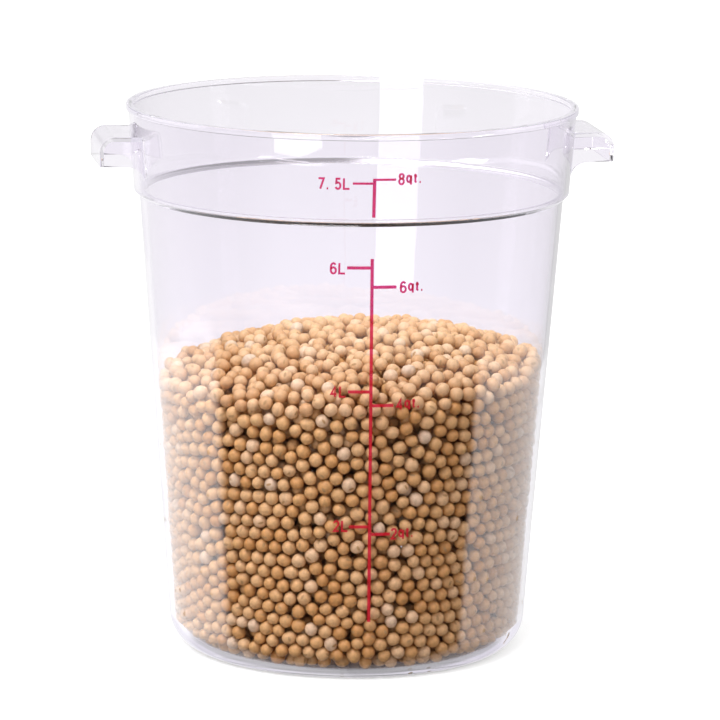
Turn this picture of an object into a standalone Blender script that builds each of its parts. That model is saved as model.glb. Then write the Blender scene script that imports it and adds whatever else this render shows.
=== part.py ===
"""A round food storage tub of clear plastic with two moulded handles, part full of dried soybeans.

Metres, +Z up. The tub stands on the floor at z = 0 with its axis on the Z axis. Its handles lie along X,
and its printed volume scale faces -Y.
"""

import math
import random

import bmesh
import bpy
from mathutils import Vector
from mathutils.geometry import delaunay_2d_cdt

# The moulding: heights above the floor or down from the rim, and radii of the outer face
TUB_HEIGHT = 0.2793
COLLAR_HEIGHT = 0.0454
BASE_RADIUS = 0.0899
WALL = 0.0025
LEDGE_STEP = 0.0027
DRAFT_SHARE = 0.075

# The rim bead, the ledge's edges and the base
RIM_BEAD_HEIGHT = 0.0040
RIM_BEAD_PROUD = 0.0012
RIM_EDGE_RADIUS = 0.0011
LEDGE_EDGE_RADIUS = 0.0013
LEDGE_ROOT_RADIUS = 0.0006
BASE_CORNER_RADIUS = 0.0168
BASE_THICKNESS = 0.0026
FOOT_RECESS = 0.0008
FOOT_RING_WIDTH = 0.0043
FOOT_RING_SLOPE_WIDTH = 0.0008

# The handles: upturned troughs, open below, with a lip outside and a web at each side
HANDLE_DROP = 0.0130
HANDLE_REACH = 0.0180
HANDLE_WIDTH = 0.0494
HANDLE_TAPER = 0.0013
HANDLE_LIP_HEIGHT = 0.0149
HANDLE_LIP_RADIUS = 0.0075
HANDLE_WALL = 0.0020
HANDLE_PLATE = 0.0022
HANDLE_EDGE_RADIUS = 0.0011
WEB_CURVE_RADIUS = 0.0088
WEB_TAIL = 0.0020

# The printed volume scale: the top line marks eight quarts, and the rest follow from the tub's inside
TOP_MARK_DROP = 0.0222
TOP_QUARTS = 8
QUART_TO_LITRE_SHARE = 0.946353
QUART_MARK_SHARES = [quarts / TOP_QUARTS for quarts in (8, 6, 4, 2)]
LITRE_MARK_SHARES = [litres / (TOP_QUARTS * QUART_TO_LITRE_SHARE) for litres in (7.5, 6, 4, 2)]
PRINT_THICKNESS = 0.00025
SCALE_LINE_WIDTH = 0.0016
SCALE_LINE_OFFSET = 0.0068
SCALE_LINE_LEAN_SHARE = 0.0152
SCALE_LINE_FOOT = 0.0326
SCALE_LINE_OVERRUN = 0.0045
COLLAR_MARK_LENGTH = 0.0105
COLLAR_MARK_WIDTH = 0.0011
BODY_MARK_LENGTH = 0.0125
BODY_MARK_TAPER_SHARE = 0.0150
BODY_MARK_WIDTH = 0.00155
MARK_STRIPS = 3

# The beans: one heap with a bump for each bean on top, and wider ones where beans lie against the tub
BEAN_DIAMETER = 0.0069
BEAN_FILL_HEIGHT = 0.1470
BEAN_DOME = 0.0200
BEAN_SLOPE_SHARE = 0.05
BEAN_BUMP = 0.0028
SIDE_BEAN_STEP = 0.0065
SIDE_BEAN_GAP = 0.0036
BEAN_SHIFT_SHARE = 0.13
BEAN_LIFT_SHARE = 0.12
BEAN_SEED = 7

# The gap between pieces that touch, how far a cutter runs past what it cuts, and what counts as one place
CLEARANCE = 0.0003
OVERRUN = 0.0060
SAME_PLACE = 0.000001

TURN_STEPS = 80
LARGE_ARC_STEPS = 6
SMALL_ARC_STEPS = 2

LEDGE_HEIGHT = TUB_HEIGHT - COLLAR_HEIGHT
FLOOR_HEIGHT = FOOT_RECESS + BASE_THICKNESS
INNER_CORNER_RADIUS = BASE_CORNER_RADIUS - WALL
RIM_BEAD_UNDERSIDE = TUB_HEIGHT - RIM_BEAD_HEIGHT


def body_radius(height):
    """The outer radius of the body's wall, carried on above the ledge."""
    return BASE_RADIUS + DRAFT_SHARE * height


def collar_radius(height):
    """The outer radius of the collar, which stands out above the ledge."""
    return body_radius(height) + LEDGE_STEP


def rounded(corners):
    """The points of an outline given as (across, height, radius, steps) for each corner."""
    places = [Vector(corner[:2]) for corner in corners]
    points = []
    for index, (place, corner) in enumerate(zip(places, corners)):
        radius, steps = corner[2:]
        if not steps:
            points.append(place)
            continue
        back = (places[index - 1] - place).normalized()
        ahead = (places[(index + 1) % len(places)] - place).normalized()
        half_angle = back.angle(ahead) / 2
        centre = place + (back + ahead).normalized() * radius / math.sin(half_angle)
        start = place + back * radius / math.tan(half_angle) - centre
        sweep = math.pi - 2 * half_angle
        turn = math.copysign(sweep, start.cross(place + ahead * radius / math.tan(half_angle) - centre))
        for step in range(steps + 1):
            angle = turn * step / steps
            across = start.x * math.cos(angle) - start.y * math.sin(angle)
            height = start.x * math.sin(angle) + start.y * math.cos(angle)
            points.append(centre + Vector((across, height)))
    return points


def sharp(across, height):
    """A corner with no rounding."""
    return (across, height, 0, 0)


def inside_corners():
    """The inside of the tub, from the middle of its floor up to the rim."""
    ledge_floor = LEDGE_HEIGHT + WALL
    return [
        sharp(0, FLOOR_HEIGHT),
        (body_radius(FLOOR_HEIGHT) - WALL, FLOOR_HEIGHT, INNER_CORNER_RADIUS, LARGE_ARC_STEPS),
        (body_radius(ledge_floor) - WALL, ledge_floor, LEDGE_EDGE_RADIUS, SMALL_ARC_STEPS),
        (collar_radius(ledge_floor) - WALL, ledge_floor, LEDGE_ROOT_RADIUS, SMALL_ARC_STEPS),
        (collar_radius(TUB_HEIGHT) - WALL, TUB_HEIGHT, RIM_EDGE_RADIUS, SMALL_ARC_STEPS),
    ]


def outside_corners():
    """The outside of the tub, from the rim down to the recess under its base."""
    bead_radius = collar_radius(RIM_BEAD_UNDERSIDE) + RIM_BEAD_PROUD
    ring_outer = BASE_RADIUS - BASE_CORNER_RADIUS + DRAFT_SHARE * BASE_CORNER_RADIUS
    ring_inner = ring_outer - FOOT_RING_WIDTH
    return [
        (bead_radius, TUB_HEIGHT, RIM_EDGE_RADIUS, SMALL_ARC_STEPS),
        sharp(bead_radius, RIM_BEAD_UNDERSIDE),
        sharp(collar_radius(RIM_BEAD_UNDERSIDE), RIM_BEAD_UNDERSIDE),
        (collar_radius(LEDGE_HEIGHT), LEDGE_HEIGHT, LEDGE_EDGE_RADIUS, SMALL_ARC_STEPS),
        (body_radius(LEDGE_HEIGHT), LEDGE_HEIGHT, LEDGE_ROOT_RADIUS, SMALL_ARC_STEPS),
        (BASE_RADIUS, 0, BASE_CORNER_RADIUS, LARGE_ARC_STEPS),
        sharp(ring_inner, 0),
        sharp(ring_inner - FOOT_RING_SLOPE_WIDTH, FOOT_RECESS),
        sharp(0, FOOT_RECESS),
    ]


def volume_below(level):
    """What the tub holds up to a level, as a stack of cone slices."""
    points = rounded(inside_corners() + [sharp(collar_radius(TUB_HEIGHT), TUB_HEIGHT)])[:-1]
    volume = 0
    for low, high in zip(points, points[1:]):
        if low.y >= level or high.y <= low.y:
            continue
        top = min(high.y, level)
        top_radius = low.x + (high.x - low.x) * (top - low.y) / (high.y - low.y)
        volume += math.pi * (top - low.y) * (low.x**2 + low.x * top_radius + top_radius**2) / 3
    return volume


def level_holding(share):
    """The level at which the tub holds this share of what it holds at its top mark."""
    target = share * volume_below(TUB_HEIGHT - TOP_MARK_DROP)
    low = FLOOR_HEIGHT
    high = TUB_HEIGHT
    for _ in range(40):
        middle = (low + high) / 2
        if volume_below(middle) < target:
            low = middle
        else:
            high = middle
    return low


def add_object(name, mesh_data, finish=None):
    """Puts a mesh into the scene, with its material."""
    thing = bpy.data.objects.new(name, mesh_data)
    bpy.context.scene.collection.objects.link(thing)
    if finish:
        mesh_data.materials.append(finish)
    return thing


def mesh_from(name, shape):
    """Turns a bmesh into smooth-shaded mesh data with its faces pointing out."""
    bmesh.ops.recalc_face_normals(shape, faces=shape.faces)
    mesh_data = bpy.data.meshes.new(name)
    shape.to_mesh(mesh_data)
    shape.free()
    mesh_data.shade_smooth()
    mesh_data.set_sharp_from_angle(angle=math.radians(35))
    return mesh_data


def hide_helper(thing):
    thing.hide_render = True
    thing.display_type = "WIRE"


def finish_for(name, colour, roughness, transmission=0):
    material = bpy.data.materials.new(name)
    material.use_nodes = True
    shader = material.node_tree.nodes["Principled BSDF"]
    shader.inputs["Base Color"].default_value = (*colour, 1)
    shader.inputs["Metallic"].default_value = 0
    shader.inputs["Roughness"].default_value = roughness
    shader.inputs["Transmission Weight"].default_value = transmission
    return material


def combine(thing, other, operation):
    """Adds an exact Boolean of another object to this one."""
    modifier = thing.modifiers.new(other.name, "BOOLEAN")
    modifier.operation = operation
    modifier.solver = "EXACT"
    modifier.object = other


def turned_tub(finish):
    """The tub's wall, floor, ledge and rim, turned from one closed section."""
    points = rounded(inside_corners() + outside_corners())
    mesh_data = bpy.data.meshes.new("tub")
    spans = [(index, index + 1) for index in range(len(points) - 1)]
    mesh_data.from_pydata([(point.x, 0, point.y) for point in points], spans, [])
    tub = add_object("tub", mesh_data, finish)
    screw = tub.modifiers.new("turn", "SCREW")
    screw.steps = TURN_STEPS
    screw.render_steps = TURN_STEPS
    screw.use_merge_vertices = True
    screw.merge_threshold = SAME_PLACE
    screw.use_smooth_shade = True
    return tub


def handle_top():
    return TUB_HEIGHT - HANDLE_DROP


def web_foot():
    return handle_top() - HANDLE_LIP_HEIGHT - WEB_CURVE_RADIUS


def handle_lip_place():
    """How far out along X the lip's flat outer face lies."""
    return collar_radius(handle_top()) + HANDLE_REACH


def handle_root_place():
    """Where along X the side webs' tails end inside the collar's wall."""
    return math.sqrt(collar_radius(web_foot() - WEB_TAIL) ** 2 - (HANDLE_WIDTH / 2) ** 2)


def tapered_slab(name, outline, narrower, soft_corners=()):
    """A slab through Y with this outline in X and Z, which narrows towards the lip."""
    shape = bmesh.new()
    root = handle_root_place()
    lip = handle_lip_place()
    sides = []
    for side in (-1, 1):
        ring = []
        for point in outline:
            taper = HANDLE_TAPER * (point.x - root) / (lip - root)
            half_width = HANDLE_WIDTH / 2 - narrower - taper
            ring.append(shape.verts.new((point.x, side * half_width, point.y)))
        sides.append(ring)
        shape.faces.new(ring)
    for index in range(len(outline)):
        following = (index + 1) % len(outline)
        shape.faces.new((sides[0][index], sides[0][following], sides[1][following], sides[1][index]))
    bmesh.ops.recalc_face_normals(shape, faces=shape.faces)
    shape.edges.ensure_lookup_table()
    soft_edges = []
    for ring in sides:
        for index in soft_corners:
            soft_edges.append(shape.edges.get((ring[index], ring[index + 1])))
    if soft_edges:
        bmesh.ops.bevel(
            shape,
            geom=soft_edges,
            offset=HANDLE_EDGE_RADIUS,
            segments=SMALL_ARC_STEPS,
            profile=0.5,
            affect="EDGES",
            clamp_overlap=True,
        )
    return add_object(name, mesh_from(name, shape))


def handle(side_name, turn, wall_core):
    """One handle: a rounded slab, hollowed from below and cut off inside the collar's wall."""
    top = handle_top()
    lip = handle_lip_place()
    lip_foot = top - HANDLE_LIP_HEIGHT
    root = handle_root_place()
    buried = root - OVERRUN
    outline = rounded(
        [
            sharp(buried, top),
            (lip, top, HANDLE_LIP_RADIUS, LARGE_ARC_STEPS),
            sharp(lip, lip_foot),
            (root, lip_foot, WEB_CURVE_RADIUS, LARGE_ARC_STEPS),
            sharp(root, web_foot() - WEB_TAIL),
            sharp(buried, web_foot() - WEB_TAIL),
        ]
    )
    run_to_lip_foot = range(LARGE_ARC_STEPS + 2)
    slab = tapered_slab(f"{side_name}_handle", outline, 0, run_to_lip_foot)
    hollow_top = top - HANDLE_PLATE
    hollow_lip = lip - HANDLE_WALL
    hollow_outline = rounded(
        [
            sharp(buried - OVERRUN, hollow_top),
            (hollow_lip, hollow_top, HANDLE_LIP_RADIUS - HANDLE_WALL, LARGE_ARC_STEPS),
            sharp(hollow_lip, web_foot() - OVERRUN),
            sharp(buried - OVERRUN, web_foot() - OVERRUN),
        ]
    )
    hollow = tapered_slab(f"{side_name}_handle_hollow", hollow_outline, HANDLE_WALL)
    for thing in (slab, hollow):
        thing.rotation_euler.z = turn
        hide_helper(thing)
    combine(slab, hollow, "DIFFERENCE")
    combine(slab, wall_core, "DIFFERENCE")
    return slab


def collar_wall_core():
    """A cone to the middle of the collar's wall, which trims what a handle buries in it."""
    low = web_foot() - OVERRUN
    high = handle_top() + OVERRUN
    shape = bmesh.new()
    bmesh.ops.create_cone(
        shape,
        cap_ends=True,
        segments=TURN_STEPS,
        radius1=collar_radius(low) - WALL / 2,
        radius2=collar_radius(high) - WALL / 2,
        depth=high - low,
    )
    bmesh.ops.translate(shape, verts=shape.verts, vec=(0, 0, (low + high) / 2))
    core = add_object("collar_wall_core", mesh_from("collar_wall_core", shape))
    hide_helper(core)
    return core


def on_wall(arc, height, outer_radius, gap):
    """A point of the print: an arc's length round from the -Y side, at a height."""
    radius = outer_radius(height) + gap
    angle = arc / outer_radius(height)
    return (radius * math.sin(angle), -radius * math.cos(angle), height)


def line_offset(height):
    """How far round the scale line's middle lies, as it leans a little from the upright."""
    below_ledge = max(0, LEDGE_HEIGHT - height)
    return -SCALE_LINE_OFFSET + SCALE_LINE_LEAN_SHARE * below_ledge


def scale_print(name, outer_radius, low, high, marks, mark_width, finish):
    """A line with its volume marks, each given as (side, height, length), a film's thickness thick."""
    cuts = {low, high}
    for _, height, _ in marks:
        cuts |= {height - mark_width / 2, height + mark_width / 2}
    shape = bmesh.new()
    half_line = SCALE_LINE_WIDTH / 2
    corners = {}

    def corner(side, reach, height):
        arc = line_offset(height) + side * reach
        key = (side, reach, height)
        if key not in corners:
            corners[key] = shape.verts.new(on_wall(arc, height, outer_radius, CLEARANCE))
        return corners[key]

    heights = sorted(cuts)
    for bottom, top in zip(heights, heights[1:]):
        left = [corner(-1, half_line, top), corner(-1, half_line, bottom)]
        right = [corner(1, half_line, bottom), corner(1, half_line, top)]
        shape.faces.new(left + right)
        for side, height, length in marks:
            if abs((bottom + top) / 2 - height) > mark_width / 2:
                continue
            strip_length = (length - half_line) / MARK_STRIPS
            for strip in range(MARK_STRIPS):
                near = half_line + strip * strip_length
                far = half_line + (strip + 1) * strip_length
                near_end = [corner(side, near, top), corner(side, near, bottom)]
                far_end = [corner(side, far, bottom), corner(side, far, top)]
                shape.faces.new((near_end + far_end)[::side])
    mesh_data = bpy.data.meshes.new(name)
    shape.to_mesh(mesh_data)
    shape.free()
    thing = add_object(name, mesh_data, finish)
    film = thing.modifiers.new("film", "SOLIDIFY")
    film.thickness = PRINT_THICKNESS
    film.offset = 1
    return thing


def body_mark_length(height):
    """The marks get shorter towards the base, as the wall tapers."""
    return BODY_MARK_LENGTH - BODY_MARK_TAPER_SHARE * (LEDGE_HEIGHT - height)


def volume_scale(finish):
    """The two printed stretches of the scale, above and below the ledge."""
    litre_levels = [level_holding(share) for share in LITRE_MARK_SHARES]
    quart_levels = [level_holding(share) for share in QUART_MARK_SHARES]
    collar_marks = [(-1, litre_levels[0], COLLAR_MARK_LENGTH), (1, quart_levels[0], COLLAR_MARK_LENGTH)]
    body_marks = [(-1, level, body_mark_length(level)) for level in litre_levels[1:]]
    body_marks += [(1, level, body_mark_length(level)) for level in quart_levels[1:]]
    scale_print(
        "collar_scale_print",
        collar_radius,
        LEDGE_HEIGHT + SCALE_LINE_OVERRUN,
        quart_levels[0] + COLLAR_MARK_WIDTH / 2,
        collar_marks,
        COLLAR_MARK_WIDTH,
        finish,
    )
    scale_print(
        "body_scale_print",
        body_radius,
        SCALE_LINE_FOOT,
        litre_levels[1] + SCALE_LINE_OVERRUN,
        body_marks,
        BODY_MARK_WIDTH,
        finish,
    )


def heap_height(across, along):
    """The heap's own surface under its bumps: a low dome, a little higher towards +X."""
    wall_radius = body_radius(BEAN_FILL_HEIGHT) - WALL
    share_out = min(1, math.hypot(across, along) / wall_radius)
    return BEAN_FILL_HEIGHT + BEAN_SLOPE_SHARE * across + BEAN_DOME * (1 - share_out**2)


def bean_places(reach):
    """The middles of the top beans, close packed in rows and shifted a little at random."""
    chance = random.Random(BEAN_SEED)
    row_step = BEAN_DIAMETER * math.sqrt(3) / 2
    rows = math.ceil(reach / row_step)
    places = []
    for row in range(-rows, rows + 1):
        for column in range(-rows, rows + 1):
            across = (column + row % 2 / 2) * BEAN_DIAMETER
            along = row * row_step
            across += chance.uniform(-BEAN_SHIFT_SHARE, BEAN_SHIFT_SHARE) * BEAN_DIAMETER
            along += chance.uniform(-BEAN_SHIFT_SHARE, BEAN_SHIFT_SHARE) * BEAN_DIAMETER
            lift = chance.uniform(-BEAN_LIFT_SHARE, BEAN_LIFT_SHARE) * BEAN_DIAMETER
            if math.hypot(across, along) < reach:
                places.append((across, along, lift))
    return places


def heap_top(shape, wall_ring):
    """Closes the heap's top with a bump for each bean and a low place between every three."""
    reach = min(vert.co.xy.length for vert in wall_ring) - BEAN_DIAMETER / 2
    tops = []
    for across, along, lift in bean_places(reach):
        tops.append(shape.verts.new((across, along, heap_height(across, along) + lift)))
    ends = wall_ring + tops
    rim = [(index, (index + 1) % len(wall_ring)) for index in range(len(wall_ring))]
    found = delaunay_2d_cdt([vert.co.xy for vert in ends], rim, [], 0, SAME_PLACE)
    originals = [source[0] for source in found[3]]
    triangles = [[ends[originals[corner]] for corner in triangle] for triangle in found[2]]
    sides = {}
    for triangle in triangles:
        middle = sum((vert.co for vert in triangle), Vector()) / 3
        low_place = shape.verts.new((middle.x, middle.y, heap_height(middle.x, middle.y) - BEAN_BUMP))
        for start, end in zip(triangle, triangle[1:] + triangle[:1]):
            sides.setdefault(frozenset((start, end)), []).append((start, end, low_place))
    for touching in sides.values():
        start, end, low_place = touching[0]
        if len(touching) == 1:
            shape.faces.new((start, end, low_place))
            continue
        other_place = touching[1][2]
        shape.faces.new((start, other_place, low_place))
        shape.faces.new((end, low_place, other_place))


def heap_section(angle, corner_rows, wall_rows):
    """Places up the heap's side at one angle: round the tub's inner corner, then up the wall to the top."""
    floor = FLOOR_HEIGHT + CLEARANCE
    fill_radius = body_radius(BEAN_FILL_HEIGHT) - WALL - CLEARANCE
    level = heap_height(fill_radius * math.cos(angle), fill_radius * math.sin(angle))
    top = Vector((body_radius(level) - WALL - CLEARANCE, level))
    corners = [
        sharp(0, floor),
        (body_radius(floor) - WALL - CLEARANCE, floor, INNER_CORNER_RADIUS - CLEARANCE, corner_rows),
        sharp(top.x, top.y),
    ]
    section = rounded(corners)[1:-1]
    foot = section[-1]
    return section + [foot.lerp(top, row / wall_rows) for row in range(1, wall_rows + 1)]


def heap_side(shape):
    """The heap's side, from its flat foot up: beans that touch the tub, with a gap between every four."""
    chance = random.Random(BEAN_SEED)
    fill_radius = body_radius(BEAN_FILL_HEIGHT) - WALL - CLEARANCE
    columns = 2 * round(math.pi * fill_radius / SIDE_BEAN_STEP)
    corner_rows = round(math.pi / 2 * INNER_CORNER_RADIUS / SIDE_BEAN_STEP)
    wall_rows = round((BEAN_FILL_HEIGHT - FLOOR_HEIGHT - INNER_CORNER_RADIUS) / SIDE_BEAN_STEP)
    rows = corner_rows + wall_rows
    rings = [[] for _ in range(rows + 1)]
    for column in range(columns):
        angle = 2 * math.pi * column / columns
        section = heap_section(angle, corner_rows, wall_rows)
        for row, place in enumerate(section):
            spot = place.copy()
            sideways = 0
            if 0 < row < rows:
                along = (section[row + 1] - section[row - 1]).normalized()
                spot += along * chance.uniform(-BEAN_SHIFT_SHARE, BEAN_SHIFT_SHARE) * SIDE_BEAN_STEP
                sideways = chance.uniform(-BEAN_SHIFT_SHARE, BEAN_SHIFT_SHARE) * SIDE_BEAN_STEP / spot.x
                if (row + column) % 2:
                    spot += Vector((-along.y, along.x)) * SIDE_BEAN_GAP
            turn = angle + sideways
            rings[row].append(shape.verts.new((spot.x * math.cos(turn), spot.x * math.sin(turn), spot.y)))
    for row in range(rows):
        for column in range(columns):
            following = (column + 1) % columns
            low_left, low_right = rings[row][column], rings[row][following]
            high_left, high_right = rings[row + 1][column], rings[row + 1][following]
            if (row + column) % 2:
                shape.faces.new((low_left, low_right, high_right))
                shape.faces.new((low_left, high_right, high_left))
            else:
                shape.faces.new((low_left, low_right, high_left))
                shape.faces.new((low_right, high_right, high_left))
    shape.faces.new(rings[0][::-1])
    return rings[-1]


def soybean_heap(finish):
    """The beans as one body, which fits the tub's floor and wall."""
    shape = bmesh.new()
    heap_top(shape, heap_side(shape))
    return add_object("soybeans", mesh_from("soybeans", shape), finish)


for leftover in list(bpy.data.objects):
    bpy.data.objects.remove(leftover)

polycarbonate = finish_for("clear_polycarbonate", (0.88, 0.86, 0.95), 0.04, transmission=1)
ink = finish_for("scale_ink", (0.60, 0.03, 0.09), 0.35)
bean_skin = finish_for("soybean_skin", (0.62, 0.42, 0.18), 0.45)

tub_moulding = turned_tub(polycarbonate)
core_of_wall = collar_wall_core()
for side_label, half_turn in (("right", 0), ("left", math.pi)):
    combine(tub_moulding, handle(side_label, half_turn, core_of_wall), "UNION")
volume_scale(ink)
soybean_heap(bean_skin)
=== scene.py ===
"""A clear food storage tub part full of dried soybeans, as it looks in a white photo studio.

Metres, +Z up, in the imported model's own frame: the tub's axis is Z, its handles lie along X and its printed
volume scale faces -Y.
"""

import math

import bmesh
import bpy
import numpy as np
from mathutils import Matrix, Vector, noise
from mathutils.kdtree import KDTree


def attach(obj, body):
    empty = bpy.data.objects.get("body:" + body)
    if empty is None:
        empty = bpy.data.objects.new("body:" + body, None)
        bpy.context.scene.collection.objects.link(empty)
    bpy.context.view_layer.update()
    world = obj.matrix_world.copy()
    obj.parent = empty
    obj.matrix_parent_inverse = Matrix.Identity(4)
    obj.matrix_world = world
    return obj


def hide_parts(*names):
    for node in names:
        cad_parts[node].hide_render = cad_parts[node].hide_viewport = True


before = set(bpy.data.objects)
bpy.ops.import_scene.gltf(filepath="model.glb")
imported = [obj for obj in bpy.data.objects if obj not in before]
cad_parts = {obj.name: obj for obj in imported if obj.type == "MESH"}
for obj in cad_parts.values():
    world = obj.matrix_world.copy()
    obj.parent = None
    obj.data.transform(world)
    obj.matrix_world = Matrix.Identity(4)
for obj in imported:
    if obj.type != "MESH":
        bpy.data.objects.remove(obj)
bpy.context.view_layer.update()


# The tub. One injection moulding of clear polycarbonate: wall, floor, foot ring, stacking ledge, collar and
# rim bead, turned here from one section. Its two trough-shaped handles are moulded in one with the collar.

TUB_HEIGHT = 0.2793
BASE_RADIUS = 0.0899
DRAFT_SHARE = 0.075
WALL = 0.0025
LEDGE_HEIGHT = TUB_HEIGHT - 0.0459
LEDGE_THICKNESS = 0.0033
LEDGE_CHAMFER = 0.0023
LEDGE_STEP = 0.0027
RIM_BEAD_UNDERSIDE = TUB_HEIGHT - 0.0031
RIM_BEAD_PROUD = 0.0011
BASE_CORNER_RADIUS = 0.0168
INNER_CORNER_RADIUS = BASE_CORNER_RADIUS - WALL
BASE_THICKNESS = 0.0026
FOOT_RECESS = 0.0008
FOOT_RING_WIDTH = 0.0043
FLOOR_HEIGHT = FOOT_RECESS + BASE_THICKNESS
TURN_STEPS = 288


def body_radius(height):
    """The outer radius of the wall below the ledge, carried on above it."""
    return BASE_RADIUS + DRAFT_SHARE * height


def collar_radius(height):
    return body_radius(height) + LEDGE_STEP


def rounded(corners):
    """The points of a section, given as (across, height, radius, steps) for each corner."""
    places = [Vector(corner[:2]) for corner in corners]
    points = []
    for index, place in enumerate(places):
        radius, steps = corners[index][2:]
        if not steps:
            points.append(place)
            continue
        back = (places[index - 1] - place).normalized()
        ahead = (places[(index + 1) % len(places)] - place).normalized()
        half_angle = back.angle(ahead) / 2
        centre = place + (back + ahead).normalized() * radius / math.sin(half_angle)
        start = place + back * radius / math.tan(half_angle) - centre
        end = place + ahead * radius / math.tan(half_angle) - centre
        turn = math.copysign(math.pi - 2 * half_angle, start.cross(end))
        for step in range(steps + 1):
            angle = turn * step / steps
            across = start.x * math.cos(angle) - start.y * math.sin(angle)
            height = start.x * math.sin(angle) + start.y * math.cos(angle)
            points.append(centre + Vector((across, height)))
    return points


def tub_section():
    """The wall's closed section: up the inside from the floor's middle, and down the outside to the base."""
    ledge_floor = LEDGE_HEIGHT + LEDGE_THICKNESS
    bead_radius = collar_radius(RIM_BEAD_UNDERSIDE) + RIM_BEAD_PROUD
    chamfer_top = LEDGE_HEIGHT + LEDGE_CHAMFER
    ring_outer = BASE_RADIUS - BASE_CORNER_RADIUS + DRAFT_SHARE * BASE_CORNER_RADIUS
    ring_inner = ring_outer - FOOT_RING_WIDTH
    return rounded(
        [
            (0, FLOOR_HEIGHT, 0, 0),
            (body_radius(FLOOR_HEIGHT) - WALL, FLOOR_HEIGHT, INNER_CORNER_RADIUS, 14),
            (body_radius(ledge_floor) - WALL, ledge_floor, 0.00015, 3),
            (collar_radius(ledge_floor) - WALL, ledge_floor, 0.0003, 4),
            (collar_radius(TUB_HEIGHT) - WALL, TUB_HEIGHT, 0.0005, 5),
            (bead_radius, TUB_HEIGHT, 0.0006, 5),
            (bead_radius, RIM_BEAD_UNDERSIDE, 0.0003, 3),
            (collar_radius(RIM_BEAD_UNDERSIDE), RIM_BEAD_UNDERSIDE, 0.0003, 3),
            (collar_radius(chamfer_top), chamfer_top, 0.0004, 4),
            (collar_radius(LEDGE_HEIGHT) - LEDGE_CHAMFER, LEDGE_HEIGHT, 0.0003, 4),
            (body_radius(LEDGE_HEIGHT), LEDGE_HEIGHT, 0.0003, 3),
            (BASE_RADIUS, 0, BASE_CORNER_RADIUS, 14),
            (ring_inner, 0, 0, 0),
            (ring_inner - FOOT_RECESS, FOOT_RECESS, 0, 0),
            (0, FOOT_RECESS, 0, 0),
        ]
    )


def object_from(name, shape):
    """Turns a bmesh into an object with its faces pointing out."""
    bmesh.ops.recalc_face_normals(shape, faces=shape.faces)
    mesh = bpy.data.meshes.new(name)
    shape.to_mesh(mesh)
    shape.free()
    thing = bpy.data.objects.new(name, mesh)
    bpy.context.scene.collection.objects.link(thing)
    return thing


def turned(name, section):
    """Turns a section about the Z axis. Points on the axis become one vertex."""
    shape = bmesh.new()
    angles = [math.tau * step / TURN_STEPS for step in range(TURN_STEPS)]
    rings = []
    for point in section:
        if point.x < 1e-9:
            rings.append([shape.verts.new((0, 0, point.y))] * TURN_STEPS)
            continue
        ring = [(point.x * math.cos(angle), point.x * math.sin(angle), point.y) for angle in angles]
        rings.append([shape.verts.new(place) for place in ring])
    for low, high in zip(rings, rings[1:]):
        for step in range(TURN_STEPS):
            following = (step + 1) % TURN_STEPS
            corners = dict.fromkeys((low[step], low[following], high[following], high[step]))
            if len(corners) > 2:
                shape.faces.new(list(corners))
    return object_from(name, shape)


HANDLE_TOP = TUB_HEIGHT - 0.0130
HANDLE_LIP = collar_radius(HANDLE_TOP) + 0.0180
HANDLE_LIP_FOOT = HANDLE_TOP - 0.0149
HANDLE_LIP_RADIUS = 0.0075
WEB_CURVE_RADIUS = 0.0088
WEB_FOOT = HANDLE_LIP_FOOT - WEB_CURVE_RADIUS
WEB_TAIL = 0.0020
HANDLE_HALF_WIDTH = 0.0494 / 2
HANDLE_TAPER = 0.0013
HANDLE_ROOT = math.sqrt(collar_radius(WEB_FOOT - WEB_TAIL) ** 2 - HANDLE_HALF_WIDTH**2)
HANDLE_WALL = 0.0020
HANDLE_PLATE = 0.0022
HANDLE_EDGE_RADIUS = 0.0011
# The handle's slab starts inside the collar's wall, and what cuts it runs on past it.
BURIED = HANDLE_ROOT - 0.0060
CUT_PAST = 0.01


def slab(name, outline, narrower):
    """A soft-edged slab across Y with this outline in X and Z, a little narrower towards the handle's lip."""
    shape = bmesh.new()
    rings = []
    for side in (-1, 1):
        ring = []
        for point in outline:
            taper = HANDLE_TAPER * (point.x - HANDLE_ROOT) / (HANDLE_LIP - HANDLE_ROOT)
            ring.append(shape.verts.new((point.x, side * (HANDLE_HALF_WIDTH - narrower - taper), point.y)))
        rings.append(ring)
        shape.faces.new(ring)
    count = len(outline)
    for index in range(count):
        following = (index + 1) % count
        shape.faces.new((rings[0][index], rings[0][following], rings[1][following], rings[1][index]))
    run = range(count - 1)
    bmesh.ops.bevel(
        shape,
        geom=[shape.edges.get((ring[index], ring[index + 1])) for ring in rings for index in run],
        offset=HANDLE_EDGE_RADIUS,
        segments=4,
        profile=0.5,
        affect="EDGES",
        clamp_overlap=True,
    )
    return object_from(name, shape)


def combine(thing, other, operation):
    """A solid Boolean, worked out at once. The other object is used up."""
    modifier = thing.modifiers.new(other.name, "BOOLEAN")
    modifier.operation = operation
    modifier.solver = "MANIFOLD"
    modifier.object = other
    made = bpy.data.meshes.new_from_object(thing.evaluated_get(bpy.context.evaluated_depsgraph_get()))
    thing.modifiers.clear()
    thing.data = made
    bpy.data.objects.remove(other)


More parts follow.
